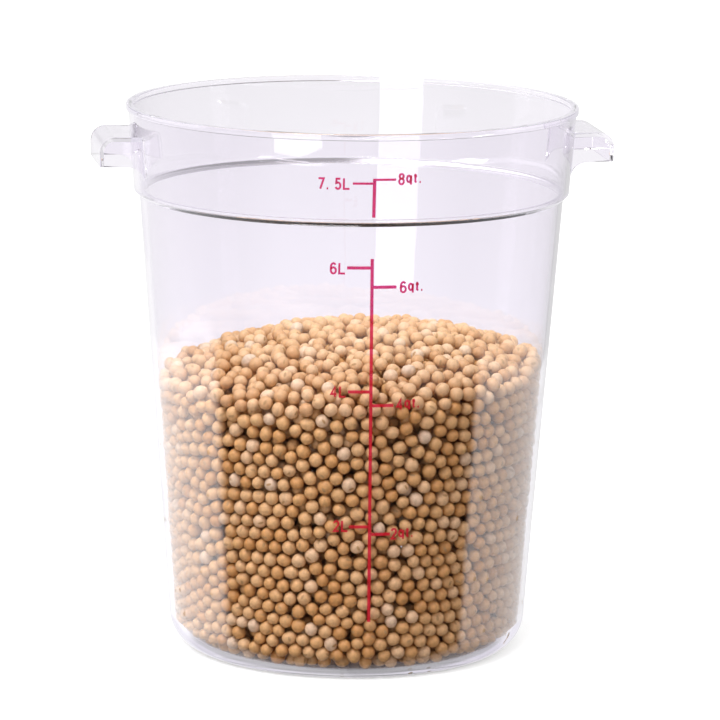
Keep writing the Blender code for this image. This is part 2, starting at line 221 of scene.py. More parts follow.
def handle(side):
    """One handle: a slab with a rounded lip, hollowed from below, with its root inside the collar's wall."""
    outer = slab(
        "handle_slab",
        rounded(
            [
                (BURIED, HANDLE_TOP, 0, 0),
                (HANDLE_LIP, HANDLE_TOP, HANDLE_LIP_RADIUS, 12),
                (HANDLE_LIP, HANDLE_LIP_FOOT, 0, 0),
                (HANDLE_ROOT, HANDLE_LIP_FOOT, WEB_CURVE_RADIUS, 12),
                (HANDLE_ROOT, WEB_FOOT - WEB_TAIL, 0, 0),
                (BURIED, WEB_FOOT - WEB_TAIL, 0, 0),
            ]
        ),
        0,
    )
    low = WEB_FOOT - CUT_PAST
    hollow_top = HANDLE_TOP - HANDLE_PLATE
    hollow = slab(
        "handle_hollow",
        rounded(
            [
                (BURIED - CUT_PAST, hollow_top, 0, 0),
                (HANDLE_LIP - HANDLE_WALL, hollow_top, HANDLE_LIP_RADIUS - HANDLE_WALL, 12),
                (HANDLE_LIP - HANDLE_WALL, low, 0, 0),
                (BURIED - CUT_PAST, low, 0, 0),
            ]
        ),
        HANDLE_WALL,
    )
    combine(outer, hollow, "DIFFERENCE")
    high = HANDLE_TOP + CUT_PAST
    middle = WALL / 2
    core = [(0, low), (collar_radius(low) - middle, low), (collar_radius(high) - middle, high), (0, high)]
    combine(outer, turned("collar_core", [Vector(point) for point in core]), "DIFFERENCE")
    if side < 0:
        outer.data.transform(Matrix.Diagonal((-1, -1, 1, 1)))
    return outer


def linear(hex_colour):
    """An sRGB hex colour as the linear colour that a shader wants."""
    values = [int(hex_colour[place : place + 2], 16) / 255 for place in (1, 3, 5)]
    return (*(v / 12.92 if v <= 0.04045 else ((v + 0.055) / 1.055) ** 2.4 for v in values), 1)


def node(tree, kind, settings=(), inputs=()):
    """Adds a node, sets its own settings, and sets or links its inputs."""
    added = tree.nodes.new(kind)
    for name, value in dict(settings).items():
        setattr(added, name, value)
    for key, value in dict(inputs).items():
        if isinstance(value, bpy.types.NodeSocket):
            tree.links.new(value, added.inputs[key])
        else:
            added.inputs[key].default_value = value
    return added


def new_material(name):
    material = bpy.data.materials.new(name)
    material.use_nodes = True
    material.node_tree.nodes.clear()
    return material, material.node_tree


def moulded_clear_polycarbonate():
    """Clear polycarbonate from a polished mould: glassy, with a faint lavender tint from its bluing dye."""
    material, tree = new_material("moulded_clear_polycarbonate")
    place = node(tree, "ShaderNodeTexCoord").outputs["Object"]
    # The flow of the melt leaves a ripple a few centimetres long that the eye only sees in reflections.
    ripple = node(tree, "ShaderNodeTexNoise", inputs={"Vector": place, "Scale": 28.0, "Detail": 1.0})
    bump = node(
        tree,
        "ShaderNodeBump",
        inputs={"Height": ripple.outputs["Fac"], "Strength": 0.12, "Distance": 0.0012},
    )
    # Fine handling marks, under a millimetre across, dull the polish a little.
    wear = node(tree, "ShaderNodeTexNoise", inputs={"Vector": place, "Scale": 900.0, "Detail": 3.0})
    polish = node(
        tree,
        "ShaderNodeMapRange",
        inputs={"Value": wear.outputs["Fac"], "To Min": 0.004, "To Max": 0.02},
    )
    plastic = node(
        tree,
        "ShaderNodeBsdfPrincipled",
        inputs={
            "Base Color": linear("#FCF9FF"),
            "Roughness": polish.outputs["Result"],
            "IOR": 1.585,
            "Transmission Weight": 1.0,
            "Normal": bump.outputs["Normal"],
        },
    )
    # Light reaches what is inside as it does through a clear wall, with no dark shadow.
    passing = node(tree, "ShaderNodeBsdfTransparent", inputs={"Color": linear("#F7F6F9")})
    path = node(tree, "ShaderNodeLightPath")
    # Painted glow: light caught in the wall for more than 14 bounces is given out as a fixed pale lavender
    # glow, standing in for the room's average light.
    depth = path.outputs["Ray Depth"]
    lost = node(tree, "ShaderNodeMath", {"operation": "GREATER_THAN"}, {0: depth, 1: 14.5})
    painted_glow = node(tree, "ShaderNodeEmission", inputs={"Color": linear("#E7E3EF")})
    kept = node(
        tree,
        "ShaderNodeMixShader",
        inputs={0: lost.outputs[0], 1: plastic.outputs[0], 2: painted_glow.outputs[0]},
    )
    mix = node(
        tree,
        "ShaderNodeMixShader",
        inputs={0: path.outputs["Is Shadow Ray"], 1: kept.outputs[0], 2: passing.outputs[0]},
    )
    node(tree, "ShaderNodeOutputMaterial", inputs={"Surface": mix.outputs[0]})
    return material


def soften(thing, sharp_angle):
    """Smooth shading in which the large faces set the direction and true corners stay sharp."""
    thing.data.shade_smooth()
    thing.data.set_sharp_from_angle(angle=math.radians(sharp_angle))
    modifier = thing.modifiers.new("weighted", "WEIGHTED_NORMAL")
    modifier.weight = 100
    modifier.keep_sharp = True
    made = bpy.data.meshes.new_from_object(thing.evaluated_get(bpy.context.evaluated_depsgraph_get()))
    thing.modifiers.clear()
    thing.data = made


tub = turned("tub_moulding", tub_section())
for handle_side in (1, -1):
    combine(tub, handle(handle_side), "UNION")
soften(tub, 40)
tub.data.name = "tub_moulding"
tub.data.materials.clear()
tub.data.materials.append(moulded_clear_polycarbonate())
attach(tub, "root")
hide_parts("tub")


# The volume scale. Red ink, screen printed on the outside of the wall in two stretches, above and below the
# ledge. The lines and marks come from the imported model, and the figures beside them are drawn here.

FIGURE_HEIGHT = 0.0054
UNIT_HEIGHT = 0.0043
UNIT_RISE = 0.0008
LETTER_GAP = 0.0011
SPACE_WIDTH = 0.0022
STROKE_WIDTH = 0.00098
PRINT_GAP = 0.0003
PRINT_THICKNESS = 0.00025
STROKE_LIFT = 0.000008


def bow(centre, radii, start, end, steps=14):
    """Points along part of an ellipse, between two angles in degrees."""
    angles = [math.radians(start + (end - start) * step / steps) for step in range(steps + 1)]
    return [(centre[0] + radii[0] * math.cos(a), centre[1] + radii[1] * math.sin(a)) for a in angles]


# Each figure is a list of pen strokes in shares of its height, and then its width.
FIGURES = {
    "2": ([bow((0.25, 0.73), (0.20, 0.24), 170, -35) + [(0.04, 0.03), (0.47, 0.03)]], 0.50),
    "4": ([[(0.36, 0.0), (0.36, 0.97), (0.03, 0.28), (0.52, 0.28)]], 0.55),
    "5": ([[(0.45, 0.96), (0.10, 0.96), (0.08, 0.55)] + bow((0.24, 0.32), (0.22, 0.29), 125, -155)], 0.50),
    "6": (
        [bow((0.27, 0.60), (0.23, 0.37), 40, 180, 9) + bow((0.27, 0.31), (0.23, 0.28), 180, 520, 20)],
        0.54,
    ),
    "7": ([[(0.03, 0.96), (0.50, 0.96), (0.20, 0.0)]], 0.53),
    "8": (
        [bow((0.25, 0.75), (0.18, 0.21), -90, 270, 18), bow((0.25, 0.28), (0.21, 0.26), 90, 450, 18)],
        0.50,
    ),
    "L": ([[(0.06, 1.0), (0.06, 0.04), (0.58, 0.04)]], 0.60),
    "q": ([bow((0.28, 0.45), (0.22, 0.37), 0, 360, 18), [(0.53, 0.84), (0.53, -0.22)]], 0.60),
    "t": ([[(0.18, 1.0), (0.18, 0.12), (0.32, 0.02)], [(0.02, 0.74), (0.36, 0.74)]], 0.38),
    ".": ([[(0.04, 0.05), (0.18, 0.05)]], 0.20),
}

# The words beside the scale: where their near end lies round the wall from -Y, and their middle's height.
LEFT_WORDS = (
    ("7. 5L", -0.0187, 0.2550),
    ("6L", -0.0195, 0.2125),
    ("4L", -0.0178, 0.1505),
    ("2L", -0.0152, 0.0820),
)
RIGHT_WORDS = (
    ("8qt.", 0.0050, 0.2573),
    ("6qt.", 0.0077, 0.2030),
    ("4qt.", 0.0075, 0.1440),
    ("2qt.", 0.0064, 0.0778),
)


def word_strokes(word):
    """The strokes of a word, in metres from its lower left corner, and its length."""
    strokes = []
    reach = 0
    for letter in word:
        if letter == " ":
            reach += SPACE_WIDTH
            continue
        small = "q" in word and letter in "qt."
        size, rise = (UNIT_HEIGHT, UNIT_RISE) if small else (FIGURE_HEIGHT, 0)
        lines, width = FIGURES[letter]
        for line in lines:
            strokes.append([(reach + across * size, rise + up * size) for across, up in line])
        reach += width * size + LETTER_GAP
    return strokes, reach - LETTER_GAP


def ribbon(shape, stroke, place):
    """A pen stroke as a flat band, mitred at its bends and laid on the wall."""
    points = [Vector(point) for point in stroke]
    closed = (points[0] - points[-1]).length < 1e-6
    edges = []
    for index, point in enumerate(points):
        before = points[index - 1] if index else (points[-2] if closed else point)
        after = points[index + 1] if index + 1 < len(points) else (points[1] if closed else point)
        ahead = (after - point).normalized() if after != point else (point - before).normalized()
        behind = (point - before).normalized() if before != point else ahead
        across = (ahead + behind).normalized()
        side = Vector((-across.y, across.x)) * STROKE_WIDTH / 2 / max(0.5, across.dot(ahead))
        edges.append([shape.verts.new(place(*(point + side))), shape.verts.new(place(*(point - side)))])
    for (left, right), (next_left, next_right) in zip(edges, edges[1:]):
        shape.faces.new((left, right, next_right, next_left))


def printed_words():
    """All the figures as one print. Strokes that cross lie a hair apart, so that no two faces coincide."""
    shape = bmesh.new()
    lift = 0
    for words, side in ((LEFT_WORDS, -1), (RIGHT_WORDS, 1)):
        for word, near_end, middle in words:
            strokes, length = word_strokes(word)
            start = near_end - length if side < 0 else near_end
            foot = middle - FIGURE_HEIGHT / 2
            outer_radius = collar_radius if middle > LEDGE_HEIGHT else body_radius
            for stroke in strokes:
                lift = (lift + 1) % 3

                def on_wall(across, up):
                    height = foot + up
                    radius = outer_radius(height)
                    angle = (start + across) / radius
                    radius += PRINT_GAP + lift * STROKE_LIFT
                    return (radius * math.sin(angle), -radius * math.cos(angle), height)

                ribbon(shape, stroke, on_wall)
    print_film = object_from("scale_figures", shape)
    thickness = print_film.modifiers.new("film", "SOLIDIFY")
    thickness.thickness = PRINT_THICKNESS
    thickness.offset = 0
    return print_film


def set_stops(ramp, stops):
    """Gives a colour ramp these stops, as pairs of a position and a colour."""
    while len(ramp.elements) < len(stops):
        ramp.elements.new(0.5)
    for element, (position, colour) in zip(ramp.elements, stops):
        element.position = position
        element.color = colour


def screen_printed_red_ink():
    """Red screen ink: satin and a little see-through, so it is pinker over the empty tub than over beans."""
    material, tree = new_material("screen_printed_red_ink")
    place = node(tree, "ShaderNodeTexCoord").outputs["Object"]
    # The screen's mesh, about 0.25 mm, leaves the film slightly uneven, and it is thinner in small patches.
    mesh_print = node(tree, "ShaderNodeTexNoise", inputs={"Vector": place, "Scale": 1400.0, "Detail": 2.0})
    bump = node(
        tree,
        "ShaderNodeBump",
        inputs={"Height": mesh_print.outputs["Fac"], "Strength": 0.3, "Distance": 0.00005},
    )
    patches = node(tree, "ShaderNodeTexNoise", inputs={"Vector": place, "Scale": 260.0, "Detail": 2.0})
    colour = node(tree, "ShaderNodeValToRGB", inputs={"Fac": patches.outputs["Fac"]})
    set_stops(colour.color_ramp, ((0.3, linear("#C20810")), (0.7, linear("#CC0C14"))))
    ink = node(
        tree,
        "ShaderNodeBsdfPrincipled",
        inputs={
            "Base Color": colour.outputs["Color"],
            "Roughness": 0.45,
            "IOR": 1.5,
            "Normal": bump.outputs["Normal"],
        },
    )
    through = node(tree, "ShaderNodeBsdfTransparent", inputs={"Color": linear("#FFB6F9")})
    mix = node(tree, "ShaderNodeMixShader", inputs={0: 0.45, 1: ink.outputs[0], 2: through.outputs[0]})
    node(tree, "ShaderNodeOutputMaterial", inputs={"Surface": mix.outputs[0]})
    return material


red_ink = screen_printed_red_ink()
figures = printed_words()
figures.data.materials.append(red_ink)
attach(figures, "root")
for node_name in ("body_scale_print", "collar_scale_print"):
    for material_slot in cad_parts[node_name].material_slots:
        material_slot.material = red_ink


# The beans. Dried soybeans, poured in to about the 4 litre line. Each is modelled, down to three beans deep.
# They are packed by pushing overlapping beans apart until they rest on the wall, the floor and each other.

BEAN_DIAMETER = 0.0072
BEAN_FILL_HEIGHT = 0.1470
BEAN_DOME = 0.0200
BEAN_SLOPE_SHARE = 0.05
BEAN_LAYERS = 3.0
PACKING_SHARE = 0.62
PACKING_REACH = 0.2
WALL_SPACING_SHARE = 1.045
HEAP_SHAKE = 0.25 * BEAN_DIAMETER
WALL_SHAKE = 0.30 * BEAN_DIAMETER
TOP_UNEVENNESS = 0.0035
PUSH_ROUNDS = 30
PUSHES_PER_ROUND = 8
PUSH_GAIN = 1.6


def inner_radius(height):
    return body_radius(height) - WALL


def heap_height(across, along):
    """The heap's top: a low dome that is a little higher towards +X."""
    share_out = np.minimum(1, np.hypot(across, along) / inner_radius(BEAN_FILL_HEIGHT))
    return BEAN_FILL_HEIGHT + BEAN_SLOPE_SHARE * across + BEAN_DOME * (1 - share_out**2)


def bean_depth(middles, radii):
    """How far each bean is from the wall, from the floor and from the heap's top."""
    out = np.hypot(middles[:, 0], middles[:, 1])
    to_wall = (inner_radius(middles[:, 2]) - out) / math.hypot(1, DRAFT_SHARE) - radii
    to_floor = middles[:, 2] - FLOOR_HEIGHT - radii
    to_top = heap_height(middles[:, 0], middles[:, 1]) - middles[:, 2] - radii
    return to_wall, to_floor, to_top


def laid_against_wall(chance):
    """The beans that press on the wall: rows round it, each half a bean on from the last, well shaken."""
    row_step = BEAN_DIAMETER * WALL_SPACING_SHARE * math.sqrt(0.75)
    lowest = FLOOR_HEIGHT + 0.35 * INNER_CORNER_RADIUS
    places = []
    for row in range(int((BEAN_FILL_HEIGHT + 0.02 - lowest) / row_step)):
        height = lowest + row * row_step
        radius = inner_radius(height) - BEAN_DIAMETER / 2
        count = int(math.tau * radius / (BEAN_DIAMETER * WALL_SPACING_SHARE))
        angles = (np.arange(count) + row % 2 / 2) * math.tau / count
        places.append(np.stack([radius * np.cos(angles), radius * np.sin(angles), angles * 0 + height], -1))
    middles = np.concatenate(places)
    middles += chance.normal(0, WALL_SHAKE, middles.shape)
    below_top = heap_height(middles[:, 0], middles[:, 1]) - middles[:, 2] > BEAN_DIAMETER / 2
    return middles[below_top]


def poured_beans(chance):
    """The beans on the wall, and behind them a shaken close packing, as deep as the eye can see in."""
    edge = BEAN_DIAMETER * (math.tau / 3 / PACKING_SHARE) ** (1 / 3)
    reach = int(PACKING_REACH / edge) + 2
    steps = np.arange(-reach, reach + 1) * edge
    cells = []
    for offset in ((0, 0, 0), (0, 0.5, 0.5), (0.5, 0, 0.5), (0.5, 0.5, 0)):
        axes = [steps + share * edge for share in offset]
        cells.append(np.stack(np.meshgrid(*axes, indexing="ij"), -1).reshape(-1, 3))
    middles = np.concatenate(cells)
    tilt = np.array(Vector(chance.normal(size=3)).normalized().to_track_quat("Z", "Y").to_matrix())
    middles = middles @ tilt.T + (0, 0, BEAN_FILL_HEIGHT / 2)
    middles += chance.normal(0, HEAP_SHAKE, middles.shape)
    depths = np.stack(bean_depth(middles, BEAN_DIAMETER / 2))
    inside = (depths.min(0) > -0.25 * BEAN_DIAMETER) & (depths[0] > 0.55 * BEAN_DIAMETER)
    seen = depths.min(0) < BEAN_LAYERS * BEAN_DIAMETER
    by_wall = laid_against_wall(chance)
    middles = np.concatenate([by_wall, middles[inside & seen]])
    radii = BEAN_DIAMETER / 2 * chance.uniform(0.92, 1.07, len(middles))
    return middles, radii, len(by_wall)


def keep_in_tub(middles, radii, lid_lift, on_wall_count):
    """Moves beans back from the wall, the floor, the rounded corner between them, and the heap's top."""
    out = np.hypot(middles[:, 0], middles[:, 1]) + 1e-9
    room = (inner_radius(middles[:, 2]) - out) / math.hypot(1, DRAFT_SHARE) - radii
    pressed = np.arange(len(middles)) < on_wall_count
    middles[:, :2] *= (1 + np.where(pressed, room, np.minimum(room, 0)) / out)[:, None]
    middles[:, 2] = np.maximum(middles[:, 2], FLOOR_HEIGHT + radii)
    corner_height = FLOOR_HEIGHT + INNER_CORNER_RADIUS
    out = np.hypot(middles[:, 0], middles[:, 1]) + 1e-9
    across = out - (inner_radius(corner_height) - INNER_CORNER_RADIUS)
    down = middles[:, 2] - corner_height
    reach = np.hypot(across, down) + 1e-9
    in_corner = (across > 0) & (down < 0)
    share = np.where(in_corner, np.minimum(1, (INNER_CORNER_RADIUS - radii) / reach), 1)
    middles[:, :2] *= ((out - across + across * share) / out)[:, None]
    middles[:, 2] = np.where(in_corner, corner_height + down * share, middles[:, 2])
    lid = heap_height(middles[:, 0], middles[:, 1]) + lid_lift - radii
    middles[:, 2] = np.minimum(middles[:, 2], lid)


def settled(middles, radii, on_wall_count):
    """Pushes overlapping beans apart, round by round, under a top that is slightly uneven."""
    lid_lift = np.array([noise.noise(Vector((x * 90, y * 90, 3.1))) for x, y, _ in middles]) * TOP_UNEVENNESS
    count = len(middles)
    for _ in range(PUSH_ROUNDS):
        tree = KDTree(count)
        for index, middle in enumerate(middles):
            tree.insert(middle, index)
        tree.balance()
        pairs = []
        for index, middle in enumerate(middles):
            near = tree.find_range(middle, 1.25 * BEAN_DIAMETER)
            pairs += [(index, other) for _, other, _ in near if other > index]
        first, second = np.array(pairs).T
        for _ in range(PUSHES_PER_ROUND):
            apart = middles[second] - middles[first]
            distance = np.linalg.norm(apart, axis=1) + 1e-9
            overlap = np.maximum(radii[first] + radii[second] - distance, 0)
            push = apart * (overlap / distance / 2)[:, None]
            hits = np.bincount(first, overlap > 0, count) + np.bincount(second, overlap > 0, count)
            for axis in range(3):
                moved = np.bincount(second, push[:, axis], count) - np.bincount(first, push[:, axis], count)
                middles[:, axis] += moved * PUSH_GAIN / np.maximum(hits, PUSH_GAIN)
            keep_in_tub(middles, radii, lid_lift, on_wall_count)
    return middles


def bean_form(cuts):
    """A unit bean: a cube's faces cut into squares and blown up round, and each square's place in its map."""
    margin = 0.04
    places = {}
    points = []
    faces = []
    corners = []
    for face in range(6):
        axis = face % 3
        outward = 1 if face < 3 else -1
        for row in range(cuts):
            for column in range(cuts):
                square = []
                for up, over in ((0, 0), (0, 1), (1, 1), (1, 0)):
                    across = (column + over) / cuts
                    along = (row + up) / cuts
                    spot = [0.0, 0.0, 0.0]
                    spot[axis] = outward
                    spot[(axis + 1) % 3] = outward * math.tan(math.pi / 4 * (2 * across - 1))
                    spot[(axis + 2) % 3] = math.tan(math.pi / 4 * (2 * along - 1))
                    direction = Vector(spot).normalized()
                    key = tuple(round(value, 5) for value in direction)
                    if key not in places:
                        places[key] = len(points)
                        points.append(direction)
                    square.append(places[key])
                    left = face % 3 + margin + (1 - 2 * margin) * across
                    low = face // 3 + margin + (1 - 2 * margin) * along
                    corners.append((left / 3, low / 2))
                faces.append(square)
    return np.array([tuple(point) for point in points]), np.array(faces), np.array(corners)


def bean_mesh(name, middles, radii, cuts, chance):
    """One mesh of many beans, each turned its own way, with a few swellings and its own tint."""
    form, faces, corners = bean_form(cuts)
    count = len(middles)
    skin = np.repeat(form[None], count, 0)
    spots = skin.copy()
    # The side with the eye is a little flatter.
    spots[:, :, 1] = np.where(spots[:, :, 1] < 0, spots[:, :, 1] * 0.95, spots[:, :, 1])
    swell = np.ones(skin.shape[:2])
    for _ in range(3):
        lean = chance.normal(0, 1.6, (count, 1, 3))
        phase = chance.uniform(0, math.tau, (count, 1))
        swell += 0.012 * np.sin((skin * lean).sum(-1) + phase)
    spots *= (swell / swell.max(1, keepdims=True))[:, :, None]
    # Most are nearly round, and one in five is clearly longer than it is wide.
    longer = np.where(chance.uniform(0, 1, count) < 0.2, chance.uniform(1.06, 1.16, count), 1.0)
    flatter = chance.uniform(0.93, 1.0, count)
    spots *= np.stack([chance.uniform(0.97, 1.01, count), flatter, longer], -1)[:, None]
    quarter = chance.normal(size=(count, 4))
    w, x, y, z = (quarter / np.linalg.norm(quarter, axis=1, keepdims=True)).T
    turn = np.stack(
        [
            np.stack([1 - 2 * (y * y + z * z), 2 * (x * y - w * z), 2 * (x * z + w * y)], -1),
            np.stack([2 * (x * y + w * z), 1 - 2 * (x * x + z * z), 2 * (y * z - w * x)], -1),
            np.stack([2 * (x * z - w * y), 2 * (y * z + w * x), 1 - 2 * (x * x + y * y)], -1),
        ],
        1,
    )
    spots = np.einsum("bij,bvj->bvi", turn, spots) * (radii * 0.995)[:, None, None] + middles[:, None]
    mesh = bpy.data.meshes.new(name)
    mesh.vertices.add(count * len(form))
    mesh.vertices.foreach_set("co", spots.astype(np.float32).ravel())
    all_faces = (faces[None] + (np.arange(count) * len(form))[:, None, None]).astype(np.int32)
    mesh.loops.add(all_faces.size)
    mesh.loops.foreach_set("vertex_index", all_faces.ravel())
    mesh.polygons.add(count * len(faces))
    mesh.polygons.foreach_set("loop_start", np.arange(0, all_faces.size, 4, dtype=np.int32))
    mesh.update(calc_edges=True)
    mesh.shade_smooth()
    # Each bean has its own cell of the map.
    columns = math.ceil(math.sqrt(count))
    cell = np.stack([np.arange(count) % columns, np.arange(count) // columns], -1)
    layout = mesh.uv_layers.new(name="OFBake")
    layout.data.foreach_set("uv", ((corners[None] + cell[:, None]) / columns).astype(np.float32).ravel())
    on_bean = mesh.attributes.new("on_bean", "FLOAT_VECTOR", "POINT")
    on_bean.data.foreach_set("vector", skin.astype(np.float32).ravel())
    bean_number = mesh.attributes.new("bean_number", "FLOAT", "POINT")
    numbers = np.repeat(chance.uniform(0, 1, count), len(form))
    bean_number.data.foreach_set("value", numbers.astype(np.float32))
    return mesh


def dried_soybean_skin(name, painted_paleness):
    """The dry seed coat of a soybean: pale tan, nearly smooth, with a soft sheen and a small oval eye."""
    material, tree = new_material(name)
    number = node(tree, "ShaderNodeAttribute", {"attribute_name": "bean_number"}).outputs["Fac"]
    on_bean = node(tree, "ShaderNodeAttribute", {"attribute_name": "on_bean"}).outputs["Vector"]
    # Most beans are tan, a few are browner, and a few are nearly white.
    tint = node(tree, "ShaderNodeValToRGB", inputs={"Fac": number})
    tints = (
        (0.0, "#C48F50"),
        (0.15, "#CE9C5E"),
        (0.5, "#D3A66B"),
        (0.85, "#D9B07A"),
        (0.95, "#DFBE93"),
        (1.0, "#D6BD9C"),
    )
    set_stops(tint.color_ramp, [(share, linear(colour)) for share, colour in tints])
    # Each bean is read at its own place in the pattern, so no two are mottled alike.
    shift = node(tree, "ShaderNodeMath", {"operation": "MULTIPLY"}, {0: number, 1: 97.0})
    shift_along = node(tree, "ShaderNodeCombineXYZ", inputs={"X": shift.outputs[0]})
    own_place = node(
        tree,
        "ShaderNodeVectorMath",
        {"operation": "ADD"},
        {0: on_bean, 1: shift_along.outputs[0]},
    ).outputs[0]
    mottle = node(tree, "ShaderNodeTexNoise", inputs={"Vector": own_place, "Scale": 2.2, "Detail": 4.0})
    shade = node(
        tree,
        "ShaderNodeMapRange",
        inputs={
            "Value": mottle.outputs["Fac"],
            "From Min": 0.3,
            "From Max": 0.7,
            "To Min": 0.88,
            "To Max": 1.08,
        },
    )
    skin = node(
        tree,
        "ShaderNodeVectorMath",
        {"operation": "SCALE"},
        {0: tint.outputs["Color"], "Scale": shade.outputs["Result"]},
    )
    # Painted light: the uppermost beans are mixed a little towards pale cream, standing in for the brighter
    # light and sheen on the heap's top.
    painted_paler = node(
        tree,
        "ShaderNodeMix",
        {"data_type": "RGBA"},
        {0: painted_paleness, 6: skin.outputs[0], 7: linear("#F2E8DC")},
    )
    # The eye, where the bean hung in its pod: an oval about 3 mm by 1 mm.
    from_eye = node(tree, "ShaderNodeVectorMath", {"operation": "SUBTRACT"}, {0: on_bean, 1: (0, -1, 0)})
    stretched = node(
        tree,
        "ShaderNodeVectorMath",
        {"operation": "MULTIPLY"},
        {0: from_eye.outputs[0], 1: (2.2, 1.0, 5.0)},
    )
    reach = node(tree, "ShaderNodeVectorMath", {"operation": "LENGTH"}, {0: stretched.outputs[0]})
    in_eye = node(
        tree,
        "ShaderNodeMapRange",
        {"interpolation_type": "SMOOTHSTEP"},
        {"Value": reach.outputs["Value"], "From Min": 0.95, "From Max": 0.75},
    )
    with_eye = node(
        tree,
        "ShaderNodeMix",
        {"data_type": "RGBA"},
        {0: in_eye.outputs["Result"], 6: painted_paler.outputs[2], 7: linear("#B48E5C")},
    )
    # The dry coat is finely wrinkled.
    wrinkle = node(tree, "ShaderNodeTexNoise", inputs={"Vector": own_place, "Scale": 5.0, "Detail": 3.0})
    bump = node(
        tree,
        "ShaderNodeBump",
        inputs={"Height": wrinkle.outputs["Fac"], "Strength": 0.35, "Distance": 0.0004},
    )
    seed_coat = node(
        tree,
        "ShaderNodeBsdfPrincipled",
        inputs={
            "Base Color": with_eye.outputs[2],
            "Roughness": 0.48,
            "IOR": 1.45,
            "Normal": bump.outputs["Normal"],
        },
    )
    node(tree, "ShaderNodeOutputMaterial", inputs={"Surface": seed_coat.outputs[0]})
    return material


bean_chance = np.random.default_rng(11)
bean_middles, bean_radii, wall_bean_count = poured_beans(bean_chance)
bean_middles = settled(bean_middles, bean_radii, wall_bean_count)
to_wall, to_floor, to_top = bean_depth(bean_middles, bean_radii)
shallow = 0.75 * BEAN_DIAMETER
on_top = to_top < shallow
by_wall = ~on_top & (to_wall < shallow)
on_floor = ~on_top & ~by_wall & (to_floor < shallow)
within = ~on_top & ~by_wall & ~on_floor
on_left = bean_middles[:, 0] < 0
quarter_turn = np.floor(np.degrees(np.arctan2(bean_middles[:, 1], bean_middles[:, 0])) / 90).astype(int) % 4
# Beans in view are blown up from four squares along each edge of the cube, and those within from two.
groups = [("soybeans_on_top", on_top, 4), ("soybeans_on_floor", on_floor, 4)]
for quarter in range(4):
    groups.append((f"soybeans_by_wall_{quarter + 1}", by_wall & (quarter_turn == quarter), 4))
groups.append(("soybeans_within_left", within & on_left, 2))
groups.append(("soybeans_within_right", within & ~on_left, 2))
# The beans on the heap's top get a skin painted a little paler, standing in for the light that falls there.
plain_skin = dried_soybean_skin("dried_soybean_skin", 0.0)
top_lit_skin = dried_soybean_skin("soybean_skin_painted_top_light", 0.1)
for group_name, chosen, face_cuts in groups:
    group_mesh = bean_mesh(group_name, bean_middles[chosen], bean_radii[chosen], face_cuts, bean_chance)
    group_mesh.materials.append(top_lit_skin if group_name == "soybeans_on_top" else plain_skin)
    group = bpy.data.objects.new(group_name, group_mesh)
    bpy.context.scene.collection.objects.link(group)
    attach(group, "root")
    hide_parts("soybeans")


# The studio. A white paper floor and background, a large soft lamp high on the left, and a smaller one low on
# the left, whose reflection is the bright upright band. The room that the tub's clear wall mirrors is dark
# ahead and pale at its sides.

CAMERA_AZIMUTH = math.radians(-9.2)
SEEN_THROUGH = 1.08
BRIGHTEST = 4.0
# Degrees round the tub from the camera's side, and the light that its clear wall mirrors from there.
LOW_ROOM = (
    (-180, 1.15),
    (-155, 1.4),
    (-136, 1.85),
    (-108, 2.5),
    (-88, 2.35),
    (-82, 0.01),
    (79, 0.01),
    (83, 1.75),
    (112, 1.6),
    (140, 1.3),
    (180, 0.95),
)
LEVEL_ROOM = (
    (-180, 1.15),
    (-150, 1.25),
    (-115, 1.15),
    (-90, 0.7),
    (-70, 0.5),
    (-40, 0.9),
    (30, 0.7),
    (60, 0.5),
    (120, 0.65),
    (180, 0.95),
)
DIM_ROOM = (
    (-180, 1.1),
    (-164, 1.1),
    (-152, 0.04),
    (-5, 0.04),
    (20, 0.55),
    (95, 0.55),
    (115, 0.04),
    (152, 0.04),
    (164, 1.0),
    (180, 1.1),
)
HIGH_ROOM = (
    (-180, 1.0),
    (-150, 1.5),
    (-120, 2.2),
    (-60, 2.2),
    (-15, 0.9),
    (30, 0.5),
    (110, 0.45),
    (150, 0.6),
    (180, 0.8),
)


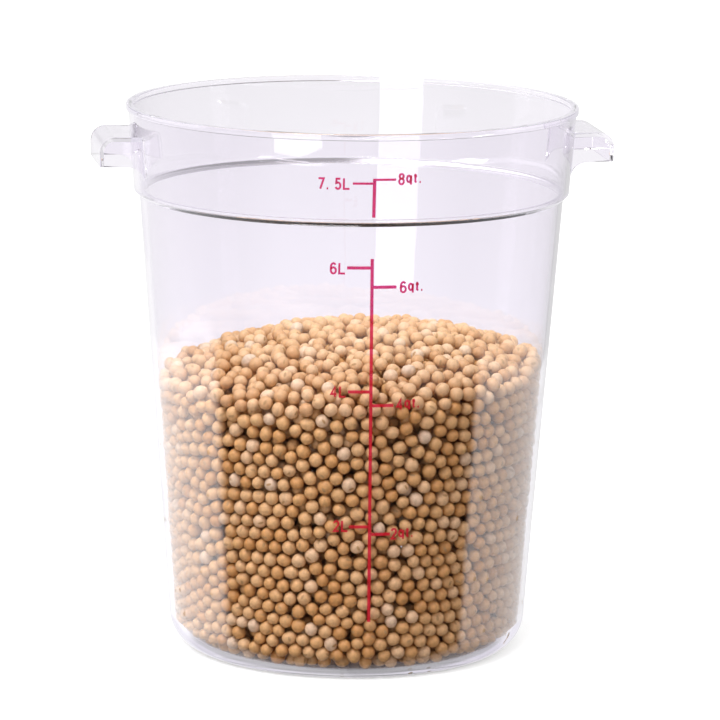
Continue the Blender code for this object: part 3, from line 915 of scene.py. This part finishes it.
def studio_floor():
    """A large white sheet. It fades to the background's white, and keeps the tub's faint shadow."""
    material, tree = new_material("white_paper_floor")
    path = node(tree, "ShaderNodeLightPath")
    place = node(tree, "ShaderNodeTexCoord").outputs["Object"]
    from_axis = node(tree, "ShaderNodeVectorMath", {"operation": "LENGTH"}, {0: place}).outputs["Value"]
    # Painted shade: seen through the tub's foot, the paper under it is painted a dark brown-grey, standing in
    # for the shade there.
    shade = node(
        tree,
        "ShaderNodeMapRange",
        {"interpolation_type": "SMOOTHSTEP"},
        {"Value": from_axis, "From Min": 0.088, "From Max": 0.098, "To Min": 0.62, "To Max": 0.0},
    )
    painted_shade_under_foot = node(
        tree,
        "ShaderNodeMath",
        {"operation": "MULTIPLY"},
        {0: shade.outputs["Result"], 1: path.outputs["Is Transmission Ray"]},
    )
    paper_with_painted_shade = node(
        tree,
        "ShaderNodeMix",
        {"data_type": "RGBA"},
        {0: painted_shade_under_foot.outputs[0], 6: linear("#BABABA"), 7: linear("#54443F")},
    )
    paper = node(tree, "ShaderNodeBsdfDiffuse", inputs={"Color": paper_with_painted_shade.outputs[2], "Roughness": 0.6})
    # The paper's glow makes it as white as the background. It stops at the tub's foot, so what stands on the
    # paper still darkens it.
    open_paper = node(
        tree,
        "ShaderNodeMapRange",
        {"interpolation_type": "SMOOTHSTEP"},
        {"Value": from_axis, "From Min": 0.068, "From Max": 0.084, "To Min": 0.0, "To Max": 0.64},
    )
    # Through the tub it is a little darker, and darker still close behind the tub, where the fading glow
    # paints shade.
    through_glow_with_painted_shade = node(
        tree,
        "ShaderNodeMapRange",
        {"interpolation_type": "SMOOTHSTEP"},
        {"Value": from_axis, "From Min": 0.10, "From Max": 0.20, "To Min": 0.0, "To Max": 0.285},
    )
    straight = node(
        tree,
        "ShaderNodeMath",
        {"operation": "MULTIPLY"},
        {0: path.outputs["Is Camera Ray"], 1: open_paper.outputs["Result"]},
    )
    through = node(
        tree,
        "ShaderNodeMath",
        {"operation": "MULTIPLY_ADD"},
        {0: path.outputs["Is Transmission Ray"], 1: through_glow_with_painted_shade.outputs["Result"], 2: straight.outputs[0]},
    )
    # It lights nothing: light that has met the beans or the paper passes it by.
    depth = path.outputs["Diffuse Depth"]
    first_hit = node(tree, "ShaderNodeMath", {"operation": "LESS_THAN"}, {0: depth, 1: 0.5})
    glow = node(
        tree,
        "ShaderNodeMath",
        {"operation": "MULTIPLY"},
        {0: through.outputs[0], 1: first_hit.outputs[0]},
    )
    white = linear("#FFFFFF")
    glowing = node(tree, "ShaderNodeEmission", inputs={"Color": white, "Strength": glow.outputs[0]})
    both = node(tree, "ShaderNodeAddShader", inputs={0: paper.outputs[0], 1: glowing.outputs[0]})
    # What the clear wall mirrors is the dark room, not the paper.
    depth = path.outputs["Glossy Depth"]
    mirrored = node(tree, "ShaderNodeMath", {"operation": "GREATER_THAN"}, {0: depth, 1: 0.5})
    unseen = node(tree, "ShaderNodeBsdfTransparent")
    shown = node(
        tree,
        "ShaderNodeMixShader",
        inputs={0: mirrored.outputs[0], 1: both.outputs[0], 2: unseen.outputs[0]},
    )
    node(tree, "ShaderNodeOutputMaterial", inputs={"Surface": shown.outputs[0]})
    shape = bmesh.new()
    bmesh.ops.create_grid(shape, x_segments=8, y_segments=8, size=4)
    floor = object_from("white_floor", shape)
    floor.data.materials.append(material)
    floor.visible_glossy = False


def studio_world():
    """The room's light by direction, for what mirrors it, what shines through, and what it falls on."""
    world = bpy.data.worlds.new("white_studio")
    bpy.context.scene.world = world
    world.use_nodes = True
    tree = world.node_tree
    tree.nodes.clear()
    path = node(tree, "ShaderNodeLightPath")
    direction = node(tree, "ShaderNodeTexCoord").outputs["Generated"]
    turned_round = node(
        tree,
        "ShaderNodeVectorRotate",
        {"rotation_type": "Z_AXIS"},
        {"Vector": direction, "Angle": -CAMERA_AZIMUTH},
    )
    parts = node(tree, "ShaderNodeSeparateXYZ", inputs={0: turned_round.outputs[0]})
    up = parts.outputs["Z"]
    toward_camera = node(tree, "ShaderNodeMath", {"operation": "MULTIPLY"}, {0: parts.outputs["Y"], 1: -1.0})
    azimuth = node(
        tree,
        "ShaderNodeMath",
        {"operation": "ARCTAN2"},
        {0: parts.outputs["X"], 1: toward_camera.outputs[0]},
    )
    round_share = node(
        tree,
        "ShaderNodeMapRange",
        inputs={"Value": azimuth.outputs[0], "From Min": -math.pi, "From Max": math.pi},
    )

    def by_azimuth(stops):
        """Light round the room, from behind by way of the left, the camera's side and the right."""
        ramp = node(tree, "ShaderNodeValToRGB", inputs={"Fac": round_share.outputs["Result"]})
        greys = [((degrees + 180) / 360, (*[level / BRIGHTEST] * 3, 1)) for degrees, level in stops]
        set_stops(ramp.color_ramp, greys)
        grey = ramp.outputs["Color"]
        return node(tree, "ShaderNodeMath", {"operation": "MULTIPLY"}, {0: grey, 1: BRIGHTEST}).outputs[0]

    # Below a line the tub mirrors the dark room round the camera, with white panels at its sides, and above
    # it the pale walls. The line is lowest in front of the tub and rises round its sides.
    half_azimuth = node(tree, "ShaderNodeMath", {"operation": "MULTIPLY"}, {0: azimuth.outputs[0], 1: 0.5})
    dip = node(tree, "ShaderNodeMath", {"operation": "COSINE"}, {0: half_azimuth.outputs[0]})
    height = node(
        tree,
        "ShaderNodeMath",
        {"operation": "MULTIPLY_ADD"},
        {0: dip.outputs[0], 1: 0.147, 2: up},
    )
    rise = node(
        tree,
        "ShaderNodeMapRange",
        {"interpolation_type": "SMOOTHSTEP"},
        {"Value": height.outputs[0], "From Min": -0.188, "From Max": -0.176, "To Min": 0.0, "To Max": 1.0},
    )
    mirrored = node(
        tree,
        "ShaderNodeMix",
        {"data_type": "FLOAT"},
        {0: rise.outputs["Result"], 2: by_azimuth(LOW_ROOM), 3: by_azimuth(LEVEL_ROOM)},
    )
    # Just over the horizon the room is dim, and above the tub it is brighter to the left, where the lamp is.
    for stops, from_height, to_height in ((DIM_ROOM, 0.0, 0.08), (HIGH_ROOM, 0.26, 0.38)):
        climb = node(
            tree,
            "ShaderNodeMapRange",
            {"interpolation_type": "SMOOTHSTEP"},
            {"Value": up, "From Min": from_height, "From Max": to_height},
        )
        mirrored = node(
            tree,
            "ShaderNodeMix",
            {"data_type": "FLOAT"},
            {0: climb.outputs["Result"], 2: mirrored.outputs[0], 3: by_azimuth(stops)},
        )
    # Straight down, the tub's foot mirrors the shade under it.
    shade = node(
        tree,
        "ShaderNodeMapRange",
        {"interpolation_type": "SMOOTHSTEP"},
        {"Value": up, "From Min": -0.55, "From Max": -0.42, "To Min": 0.42, "To Max": 1.0},
    )
    mirrored = node(
        tree,
        "ShaderNodeMath",
        {"operation": "MULTIPLY"},
        {0: mirrored.outputs[0], 1: shade.outputs["Result"]},
    )
    # What shines straight through is the white sheet behind the tub. It ends a little above the horizon, and
    # over it the room is dark.
    backdrop = node(
        tree,
        "ShaderNodeMapRange",
        {"interpolation_type": "SMOOTHSTEP"},
        {"Value": up, "From Min": 0.08, "From Max": 0.26, "To Min": SEEN_THROUGH, "To Max": 0.02},
    )
    clear_level = node(
        tree,
        "ShaderNodeMix",
        {"data_type": "FLOAT", "clamp_factor": True},
        {0: path.outputs["Glossy Depth"], 2: backdrop.outputs["Result"], 3: mirrored.outputs[0]},
    )
    # What falls on the beans and the paper comes more from above than from the sides.
    falls = node(
        tree,
        "ShaderNodeMapRange",
        {"interpolation_type": "SMOOTHSTEP"},
        {"Value": up, "From Min": -0.2, "From Max": 0.9, "To Min": 0.62, "To Max": 1.65},
    )
    depth = path.outputs["Diffuse Depth"]
    after_matt = node(tree, "ShaderNodeMath", {"operation": "GREATER_THAN"}, {0: depth, 1: 0.5})
    level = node(
        tree,
        "ShaderNodeMix",
        {"data_type": "FLOAT"},
        {0: after_matt.outputs[0], 2: clear_level.outputs[0], 3: falls.outputs["Result"]},
    )
    shown = node(
        tree,
        "ShaderNodeMix",
        {"data_type": "FLOAT"},
        {0: path.outputs["Is Camera Ray"], 2: level.outputs[0], 3: 1.0},
    )
    background = node(tree, "ShaderNodeBackground", inputs={"Strength": shown.outputs[0]})
    node(tree, "ShaderNodeOutputWorld", inputs={"Surface": background.outputs[0]})


def soft_lamp(name, place, aim, width, height, watts):
    """A lamp behind a sheet of white cloth, turned to face a point."""
    lamp = bpy.data.lights.new(name, "AREA")
    lamp.shape = "RECTANGLE"
    lamp.size = width
    lamp.size_y = height
    lamp.energy = watts
    holder = bpy.data.objects.new(name, lamp)
    bpy.context.scene.collection.objects.link(holder)
    holder.location = place
    holder.rotation_euler = (Vector(aim) - Vector(place)).to_track_quat("-Z", "Y").to_euler()


def from_camera_side(degrees_left, distance, height):
    """A place round the tub, counted to the camera's left from straight in front of it."""
    angle = CAMERA_AZIMUTH - math.radians(degrees_left)
    return (distance * math.sin(angle), -distance * math.cos(angle), height)


def photo_camera():
    """The camera's place, tilt and long lens, worked out from the tub's outline in the photograph."""
    distance, height = 2.353475, 0.593359
    pitch, yaw, roll = (math.radians(degrees) for degrees in (10.733, 0.132, 0.714))
    ahead = Vector((math.sin(yaw) * math.cos(pitch), math.cos(yaw) * math.cos(pitch), -math.sin(pitch)))
    level_right = Vector((math.cos(yaw), -math.sin(yaw), 0))
    level_up = level_right.cross(ahead)
    right = math.cos(roll) * level_right + math.sin(roll) * level_up
    up = -math.sin(roll) * level_right + math.cos(roll) * level_up
    camera = bpy.data.objects.new("camera", bpy.data.cameras.new("camera"))
    bpy.context.scene.collection.objects.link(camera)
    camera.data.sensor_width = 36
    camera.data.lens = 234.48
    camera.data.clip_end = 100
    stand = Matrix.Rotation(CAMERA_AZIMUTH, 4, "Z")
    look = Matrix((right, up, -ahead)).transposed().to_4x4()
    camera.matrix_world = stand @ Matrix.Translation((0, -distance, height)) @ look
    bpy.context.scene.camera = camera


studio_floor()
studio_world()
soft_lamp("high_left_lamp", from_camera_side(28, 1.0, 2.3), (0, 0, 0.15), 1.0, 1.0, 45)
soft_lamp("low_left_lamp", from_camera_side(27.2, 1.7, 0.138), (0, 0, 0.138), 0.735, 0.704, 3.7)
photo_camera()
bpy.context.scene.view_settings.view_transform = "Standard"
# Light runs many times round inside a clear wall before it comes out at an edge.
bpy.context.scene.cycles.max_bounces = 28
bpy.context.scene.cycles.glossy_bounces = 20
bpy.context.scene.cycles.transmission_bounces = 20
